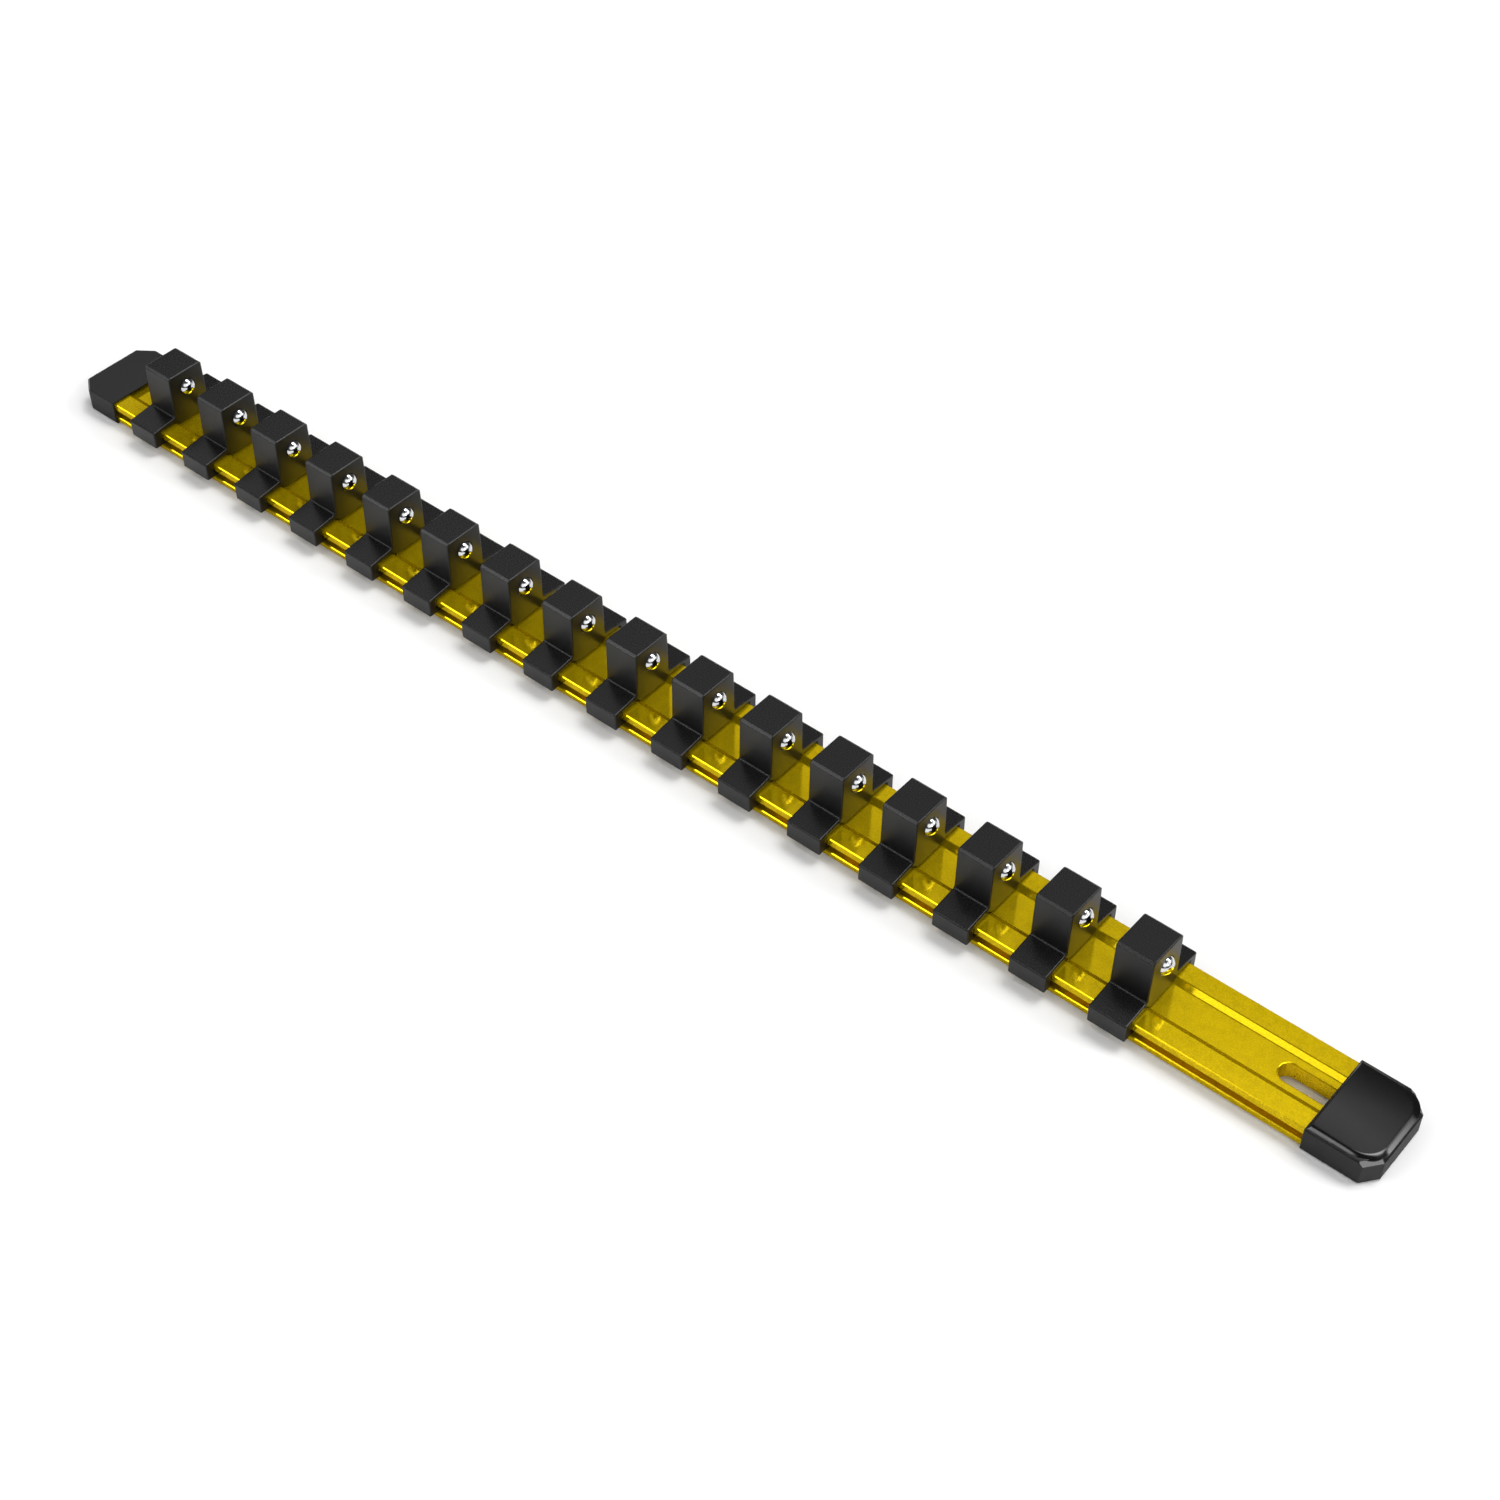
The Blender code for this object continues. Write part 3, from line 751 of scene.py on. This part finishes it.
def clip_mesh():
    """A clip's section carried along X, with the ball's bore cut into its
    +X face. The bore is turned about the ball's axis: a bevel at the face,
    a lip narrower than the ball, and a bore a little wider than it."""
    bevel, fillet = sizes().post_bevel, sizes().post_fillet
    base = BAR_TOP + SLIDE_GAP
    skirt_inside = BAR_HALF + SLIDE_GAP
    skirt_outside = skirt_inside + SKIRT_THICKNESS
    hook_tip = BAR_HALF - HOOK_REACH
    hook_top = GROOVE_TOP - SEAT_GAP
    hook_bottom = hook_top - HOOK_HEIGHT
    tongue = RECESS_HALF - SLIDE_GAP
    tongue_bottom = BAR_TOP - RECESS_DEPTH + SLIDE_GAP
    small = sizes().clip_edge / 3
    soft = POST_BEVEL_ROUNDING * bevel
    corners, radii = mirrored(
        [
            (tongue - RECESS_SIDE_RUN, tongue_bottom, small),
            (tongue, base, -small),
            (skirt_inside, base, -small),
            (skirt_inside, hook_top, -small),
            (hook_tip, hook_top, small),
            (hook_tip, hook_bottom, small),
            (skirt_outside, hook_bottom, 2 * small),
            (skirt_outside, BAR_TOP + FOOT_EDGE_THICKNESS, FOOT_EDGE_RADIUS),
            (POST_BASE_HALF, BAR_TOP + FOOT_THICKNESS, -fillet),
            (POST_TOP_HALF + POST_LEAN * bevel, CLIP_TOP - bevel, soft),
            (POST_TOP_HALF - bevel, CLIP_TOP, soft),
        ]
    )
    clip = swept_along_bar("clip", corners, radii, sizes().clip_edge, CLIP_LENGTH)
    face = CLIP_LENGTH / 2
    to_centre = face - BALL_FROM_CLIP
    lip = math.sqrt(BALL_RADIUS**2 - to_centre**2) + LIP_CLEARANCE
    bore = BALL_RADIUS + BORE_CLEARANCE
    mouth = sizes().bore_lip
    x = np.array([BORE_END, BALL_FROM_CLIP, face - mouth, face, face + mouth])
    radius = np.array([bore, bore, lip, lip + mouth, lip + 2 * mouth])
    return combined(clip, turned_about_x("bore", x, radius, BALL_AXIS), "DIFFERENCE")


def ball_mesh():
    """A sphere with its poles along X: X is minus the radius times the cosine
    of the polar angle, and each ring's radius is the radius times its sine."""
    polar = np.linspace(0, math.pi, BALL_RINGS + 2)[1:-1]
    here = np.arange(ROUND_SEGMENTS)
    after = (here + 1) % ROUND_SEGMENTS
    angle = here * math.tau / ROUND_SEGMENTS
    ring = BALL_RADIUS * np.sin(polar)[:, None]
    y = -ring * np.sin(angle)
    z = BALL_AXIS + ring * np.cos(angle)
    x = np.broadcast_to(BALL_FROM_CLIP - BALL_RADIUS * np.cos(polar)[:, None], y.shape)
    points = np.stack([x, y, z], axis=-1).reshape(-1, 3)
    poles = [[BALL_FROM_CLIP + side * BALL_RADIUS, 0, BALL_AXIS] for side in (-1, 1)]
    first_pole = np.full(ROUND_SEGMENTS, len(points))
    last_ring = (BALL_RINGS - 1) * ROUND_SEGMENTS
    faces = ring_faces(BALL_RINGS, ROUND_SEGMENTS, closed_ends=False)
    faces += np.stack([first_pole, after, here], axis=1).tolist()
    faces += np.stack([first_pole + 1, here + last_ring, after + last_ring], axis=1).tolist()
    return new_mesh("ball", np.concatenate([points, poles]), faces)


def spring_mesh():
    """A round wire swept along a helix about the bore's axis. The helix is (advance, radius times sine,
    radius times cosine) of the turn, and the wire's ring lies in the plane across the helix's direction."""
    touch = BALL_RADIUS + WIRE_RADIUS + SEAT_GAP
    front = BALL_FROM_CLIP - math.sqrt(touch**2 - SPRING_RADIUS**2)
    back = BORE_END + SEAT_GAP + WIRE_RADIUS
    share = np.linspace(0, 1, int(SPRING_TURNS * WIRE_STEPS) + 1)
    turn = share * SPRING_TURNS * math.tau
    out = np.stack([np.zeros_like(turn), -np.sin(turn), np.cos(turn)], axis=1)
    round_it = np.stack([np.zeros_like(turn), -np.cos(turn), -np.sin(turn)], axis=1)
    advance = (front - back) / (SPRING_TURNS * math.tau)
    along = round_it * SPRING_RADIUS + [advance, 0, 0]
    along /= np.linalg.norm(along, axis=1, keepdims=True)
    across = np.cross(along, out)
    axis = np.stack([back + (front - back) * share, 0 * turn, 0 * turn + BALL_AXIS], axis=1)
    middle = out * SPRING_RADIUS + axis
    angle = (np.arange(WIRE_SIDES) * math.tau / WIRE_SIDES)[None, :, None]
    ring = np.cos(angle) * out[:, None, :] + np.sin(angle) * across[:, None, :]
    rings = middle[:, None, :] + WIRE_RADIUS * ring
    mesh = new_mesh("spring", rings, ring_faces(len(turn), WIRE_SIDES))
    corner = np.empty(len(mesh.loops), np.int32)
    mesh.loops.foreach_get("vertex_index", corner)
    run = np.stack([corner % WIRE_SIDES / WIRE_SIDES, corner // WIRE_SIDES / WIRE_SIDES], axis=1)
    mesh.uv_layers.new(name="along_wire").data.foreach_set("uv", run.astype(np.float32).ravel())
    return mesh


def cap_body(length, corner, facet):
    """An end cap's plan, with its mouth at X = 0 and the corners of its end cut, each side
    by its own amount, carried up Z. Along the lower rim every side but the mouth draws in
    by a rounding. Along the upper rim the two long sides draw in by a smaller rounding,
    and the end and its cut corners by the facet's width less the depth below the top."""
    half = NEAR_HIGH.y
    cut_front, cut_back, cut_width = corner
    edge = sizes().cap_edge
    corners = np.array(
        [
            (0.0, -half),
            (length - cut_front, -half),
            (length, cut_width - half),
            (length, half - cut_width),
            (length - cut_back, half),
            (0.0, half),
        ]
    )
    rim = CAP_RIM_SHARE * min(edge, facet)
    depth = np.append(facet, rim * np.array(CAP_RIM_DEPTHS))
    along = rim - np.sqrt(rim**2 - np.maximum(rim - depth, 0) ** 2)
    across = np.maximum(facet - depth, along)
    angle = np.linspace(0, math.pi / 2, EDGE_STEPS + 1)
    lower = edge * (1 - np.sin(angle))
    z = np.concatenate([edge * (1 - np.cos(angle)), CAP_BODY_TOP - depth])
    along = np.concatenate([lower, along])
    across = np.concatenate([lower, across])
    depths = np.stack([along, across, across, across, along, 0 * along], axis=1)
    radii = np.array([SMALLEST_RADIUS, *[CAP_CORNER_RADIUS] * 4, SMALLEST_RADIUS])
    radii = np.broadcast_to(radii, depths.shape)
    outlines = rounded(moved_in(corners, depths), radii, CAP_CORNER_STEPS)
    up = np.broadcast_to(z[:, None, None], outlines.shape[:2] + (1,))
    points = np.concatenate([outlines, up], axis=2)
    return new_mesh("cap_body", points, ring_faces(len(z), outlines.shape[1]))


def cap_cavity(length):
    """The room for the bar's end in a cap: a box from
    before the mouth to the end wall, with rounded edges."""
    half = BAR_HALF + SLIDE_GAP
    top = BAR_TOP + SLIDE_GAP
    corners = np.array([(-half, CAP_FLOOR), (half, CAP_FLOOR), (half, top), (-half, top)])
    radii = np.full(4, -CAVITY_CORNER_RADIUS)
    deep = length - CAP_END_WALL
    return swept_along_bar("cavity", corners, radii, CAVITY_EDGE, 2 * deep)


def pad_mesh(length):
    """The near cap's pad: rings of its plan, each drawn in further, first across the sloping shoulder and
    then shrinking almost to a point. The height is a dome's: the rise less the crown times (u to the
    power p plus v to the power p) to the power 2 over p, where u runs from 0 at the mouth to 1 at the end
    and v from 0 in the middle to 1 at a side. Across the shoulder it is less by its slope times a smooth
    ramp of the distance left. The first ring lies as deep inside the cap as the pad rises above it."""
    half = NEAR_HIGH.y - PAD_INSET
    end = length - PAD_END_INSET
    corners = np.array([(PAD_MOUTH_INSET, -half), (end, -half), (end, half), (PAD_MOUTH_INSET, half)])
    rise = NEAR_HIGH.z - CAP_BODY_TOP
    run = sizes().pad_side
    share = np.append(0.0, np.linspace(0, 1, PAD_SHOULDER_RINGS))
    depths = share[:, None] * np.array([run, run, run, PAD_MOUTH_RUN * run])
    corner = PAD_CORNER_RADIUS - share * run * PAD_CORNER_RUN
    mouth = np.full(len(share), PAD_MOUTH_RADIUS)
    radii = np.stack([mouth, corner, corner, mouth], axis=1)
    arcs = rounded(moved_in(corners, depths), radii, PAD_CORNER_STEPS).reshape(len(share), 4, -1, 2)
    along = np.linspace(0, 1, PAD_SIDE_POINTS + 2)[1:-1, None]
    first, last = np.roll(arcs, -1, axis=1)[:, :, :1], arcs[:, :, -1:]
    sides = last + (first - last) * along
    outlines = np.concatenate([arcs, sides], axis=2).reshape(len(share), -1, 2)
    heart = (outlines[-1].min(axis=0) + outlines[-1].max(axis=0)) / 2
    left = np.linspace(1, PAD_LAST_RING, PAD_TOP_RINGS + 1)[1:]
    shrunk = heart + (outlines[-1][None] - heart) * left[:, None, None]
    plan = np.concatenate([outlines, shrunk])
    u = np.maximum(plan[..., 0] / end, 0)
    v = np.abs(plan[..., 1]) / half
    height = rise * (1 - PAD_CROWN * (u**PAD_POWER + v**PAD_POWER) ** (2 / PAD_POWER))
    ramp = (np.sqrt((1 - share) ** 2 + PAD_BLEND**2) - PAD_BLEND) * run * PAD_SLOPE
    height[: len(share)] -= ramp[:, None]
    height[0] = -rise
    points = np.concatenate([plan, height[..., None]], axis=2)
    points[..., 2] += CAP_BODY_TOP
    return new_mesh("pad", points, ring_faces(len(points), points.shape[1]))


def placed(mesh, mouth, direction):
    """A cap's mesh with its mouth moved to its place along the bar.
    The far cap is turned half round, so both X and Y change sign."""
    points = np.empty(len(mesh.vertices) * 3, np.float32)
    mesh.vertices.foreach_get("co", points)
    points[0::3] = mouth + direction * points[0::3]
    points[1::3] *= direction
    mesh.vertices.foreach_set("co", points)
    mesh.update()
    return mesh


class SOCKET_RAIL_OT_bar(bpy.types.Operator):
    """Builds the anodised bar"""

    bl_idname = "socket_rail.bar"
    bl_label = "Bar"

    def execute(self, context):
        dress("bar", bar_mesh(), surface_finish("dyed_aluminium", anodised_aluminium), "rail")
        return {"FINISHED"}


class SOCKET_RAIL_OT_caps(bpy.types.Operator):
    """Builds the two end caps"""

    bl_idname = "socket_rail.caps"
    bl_label = "End caps"

    def execute(self, context):
        plastic = surface_finish("polished_nylon", glossy_plastic)
        length = NEAR_HIGH.x - NEAR_LOW.x
        near = combined(cap_body(length, NEAR_CORNER, sizes().near_facet), pad_mesh(length), "UNION")
        near = combined(near, cap_cavity(length), "DIFFERENCE")
        dress("near_end_cap", placed(near, NEAR_LOW.x, 1), plastic, "end_cap_near")
        length = FAR_HIGH.x - FAR_LOW.x
        far = cap_body(length, FAR_CORNER, sizes().far_facet)
        far = combined(far, cap_cavity(length), "DIFFERENCE")
        dress("far_end_cap", placed(far, FAR_HIGH.x, -1), plastic, "end_cap_far")
        return {"FINISHED"}


class SOCKET_RAIL_OT_clips(bpy.types.Operator):
    """Builds the sliding clips"""

    bl_idname = "socket_rail.clips"
    bl_label = "Clips"

    def execute(self, context):
        plastic = surface_finish("satin_nylon", satin_plastic)
        mesh = clip_mesh()
        for number in CLIP_NUMBERS:
            low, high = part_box(f"clip_{number}")
            dress(
                f"sliding_clip_{number}",
                moved_along_bar(mesh, (low.x + high.x) / 2),
                plastic,
                f"clip_{number}",
            )
        bpy.data.meshes.remove(mesh)
        return {"FINISHED"}


class SOCKET_RAIL_OT_detents(bpy.types.Operator):
    """Builds the detent balls and the springs behind them"""

    bl_idname = "socket_rail.detents"
    bl_label = "Balls and springs"

    def execute(self, context):
        chrome = surface_finish("polished_chrome", chromed_steel)
        steel = surface_finish("drawn_wire", spring_steel)
        ball, spring = ball_mesh(), spring_mesh()
        for number in CLIP_NUMBERS:
            low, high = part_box(f"clip_{number}")
            middle = (low.x + high.x) / 2
            dress(
                f"ball_{number}",
                moved_along_bar(ball, middle),
                chrome,
                f"detent_ball_{number}",
                weighted=False,
            )
            coil = dress(
                f"spring_{number}",
                moved_along_bar(spring, middle),
                steel,
                f"detent_spring_{number}",
                weighted=False,
            )
            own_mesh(coil)
        for mesh in (ball, spring):
            bpy.data.meshes.remove(mesh)
        return {"FINISHED"}


# Soft light comes from oval panels round the stage, which are parts of the world. Each
# has the direction of its middle, half its length and half its width as seen from the
# object, and its brightness. Its length runs along the bar. It is at its full
# brightness out to the core's share of its outline. The fill shines between panels.
FILL = 0.07
PANEL_CORE = 0.45
PANELS = [
    ((0.15, 0.34, 0.93), 0.33, 0.235, 10.0),
    ((-0.42, 0.53, 0.73), 0.50, 0.15, 0.62),
    ((-0.60, 0.30, 0.74), 0.52, 0.16, 0.80),
    ((-0.14, 0.53, 0.84), 0.20, 0.11, 0.75),
    ((-0.40, 0.72, 0.57), 0.40, 0.10, 0.45),
    ((0.30, 0.56, 0.77), 0.24, 0.14, 2.0),
    ((0.62, 0.49, 0.61), 0.34, 0.14, 8.0),
    ((-0.42, -0.54, 0.73), 0.46, 0.12, 2.4),
    ((-0.34, -0.23, 0.91), 0.40, 0.08, 6.0),
    ((-0.50, -0.69, 0.53), 0.38, 0.10, 5.5),
    ((0.84, -0.21, 0.50), 0.20, 0.20, 5.5),
    ((0.62, -0.56, 0.55), 0.46, 0.46, 1.2),
    ((0.84, 0.12, 0.53), 0.50, 0.50, 1.0),
    ((0.62, 0.75, 0.22), 0.32, 0.32, 0.6),
]

# So large a half size along a panel's third axis leaves that axis out of its outline
PANEL_THIRD_HALF = 1000.0

# White that the camera sees on top of the light that the floor sends back
FLOOR_GLOW = 0.02


def studio_world():
    """A white surround for the camera. For light and reflections it is a dim fill with soft panels
    in it. The direction seen is turned into a panel's own axes and divided by its half sizes, and
    the panel adds its brightness times a smooth step of that vector's length, from nothing at 1 to
    all at the core's edge. A panel's twin on the opposite side lies under the floor."""
    world = bpy.data.worlds.new("studio")
    world.use_nodes = True
    tree = world.node_tree
    tree.nodes.clear()
    seen = add_node(tree, "ShaderNodeTexCoord").outputs["Generated"]
    level = None
    for direction, half_length, half_width, brightness in PANELS:
        middle = Vector(direction).normalized()
        across = middle.cross(Vector((1, 0, 0))).normalized()
        axes = Matrix((across.cross(middle), across, middle)).transposed()
        half_sizes = (half_length, half_width, PANEL_THIRD_HALF)
        settings = {"vector_type": "TEXTURE", "Rotation": axes.to_euler(), "Scale": half_sizes}
        own = add_node(tree, "ShaderNodeMapping", settings, {"Vector": seen})
        out = add_node(tree, "ShaderNodeVectorMath", {"operation": "LENGTH"}, {0: own.outputs[0]})
        settings = {
            "interpolation_type": "SMOOTHSTEP",
            "From Min": 1.0,
            "From Max": PANEL_CORE,
            "To Min": 0.0,
            "To Max": brightness,
        }
        step = add_node(tree, "ShaderNodeMapRange", settings, {"Value": out.outputs["Value"]})
        panel = step.outputs["Result"]
        if level is None:
            level = add_node(tree, "ShaderNodeMath", {"operation": "ADD", 1: FILL}, {0: panel}).outputs[0]
        else:
            level = add_node(tree, "ShaderNodeMath", {"operation": "ADD"}, {0: panel, 1: level}).outputs[0]
    ray = add_node(tree, "ShaderNodeLightPath").outputs["Is Camera Ray"]
    strength = add_node(tree, "ShaderNodeMix", {"data_type": "FLOAT", "B": 1.0}, {"Factor": ray, "A": level})
    white = {"Color": (1.0, 1.0, 1.0, 1.0)}
    background = add_node(tree, "ShaderNodeBackground", white, {"Strength": strength.outputs["Result"]})
    add_node(tree, "ShaderNodeOutputWorld", links={"Surface": background.outputs[0]})
    bpy.context.scene.world = world


def floor_material():
    """Matt white painted board. It adds a trace of white to what the camera
    sees, so that it runs into the surround, and keeps the object's shadow."""
    material, tree, shader, place = new_material("matt_white_board")
    white = colours().floor[:]
    fibres = noise(tree, place, BOARD_FIBRES)
    shader.inputs["Roughness"].default_value = 0.9
    shader.inputs["Specular IOR Level"].default_value = 0.1
    shader.inputs["Emission Color"].default_value = (1.0, 1.0, 1.0, 1.0)
    tone = between(tree, fibres, shade(white, DIM_BOARD), white)
    tree.links.new(tone, shader.inputs["Base Color"])
    ray = add_node(tree, "ShaderNodeLightPath").outputs["Is Camera Ray"]
    glow = add_node(tree, "ShaderNodeMath", {"operation": "MULTIPLY", 1: FLOOR_GLOW}, {0: ray})
    tree.links.new(glow.outputs[0], shader.inputs["Emission Strength"])
    return material


class SOCKET_RAIL_OT_stage(bpy.types.Operator):
    """Builds the floor, the light and the camera"""

    bl_idname = "socket_rail.stage"
    bl_label = "Stage"

    def execute(self, context):
        scene = context.scene
        corners = FLOOR_REACH * np.array([(-1, -1, 0), (1, -1, 0), (1, 1, 0), (-1, 1, 0)])
        floor = bpy.data.objects.new("floor", new_mesh("floor", corners, [[0, 1, 2, 3]]))
        floor.data.materials.append(floor_material())
        scene.collection.objects.link(floor)
        studio_world()
        data = bpy.data.cameras.new("camera")
        data.lens = CAMERA_LENS
        data.sensor_width = CAMERA_SENSOR
        data.clip_start = CAMERA_NEAREST
        data.clip_end = CAMERA_FARTHEST
        camera = bpy.data.objects.new("camera", data)
        camera.location = CAMERA_PLACE
        camera.rotation_euler = Euler([math.radians(turn) for turn in CAMERA_TURN])
        scene.collection.objects.link(camera)
        scene.camera = camera
        scene.view_settings.view_transform = "Standard"
        return {"FINISHED"}


class VIEW3D_PT_socket_rail(bpy.types.Panel):
    """Sizes, colours and steps of the socket rail"""

    bl_label = "Socket rail"
    bl_idname = "VIEW3D_PT_socket_rail"
    bl_space_type = "VIEW_3D"
    bl_region_type = "UI"
    bl_category = "Socket rail"

    def draw(self, context):
        for group in (sizes(), colours()):
            column = self.layout.column(align=True)
            for name in group.__annotations__:
                column.prop(group, name)
        column = self.layout.column()
        for operator in OPERATORS:
            column.operator(operator.bl_idname)


OPERATORS = (
    SOCKET_RAIL_OT_bar,
    SOCKET_RAIL_OT_caps,
    SOCKET_RAIL_OT_clips,
    SOCKET_RAIL_OT_detents,
    SOCKET_RAIL_OT_stage,
)
CLASSES = (SocketRailSizes, SocketRailColours, *OPERATORS, VIEW3D_PT_socket_rail)


def register():
    """Adds the add-on's classes, and the scene's sizes and colours."""
    for each in CLASSES:
        bpy.utils.register_class(each)
    bpy.types.Scene.socket_rail_sizes = bpy.props.PointerProperty(type=SocketRailSizes)
    bpy.types.Scene.socket_rail_colours = bpy.props.PointerProperty(type=SocketRailColours)


def unregister():
    """Takes away all that was added, in the other order."""
    del bpy.types.Scene.socket_rail_colours
    del bpy.types.Scene.socket_rail_sizes
    for each in reversed(CLASSES):
        bpy.utils.unregister_class(each)


def main():
    """Builds the pieces and the stage, one operator after another."""
    register()
    bpy.ops.socket_rail.bar()
    bpy.ops.socket_rail.caps()
    bpy.ops.socket_rail.clips()
    bpy.ops.socket_rail.detents()
    bpy.ops.socket_rail.stage()


if __name__ == "__main__":
    main()
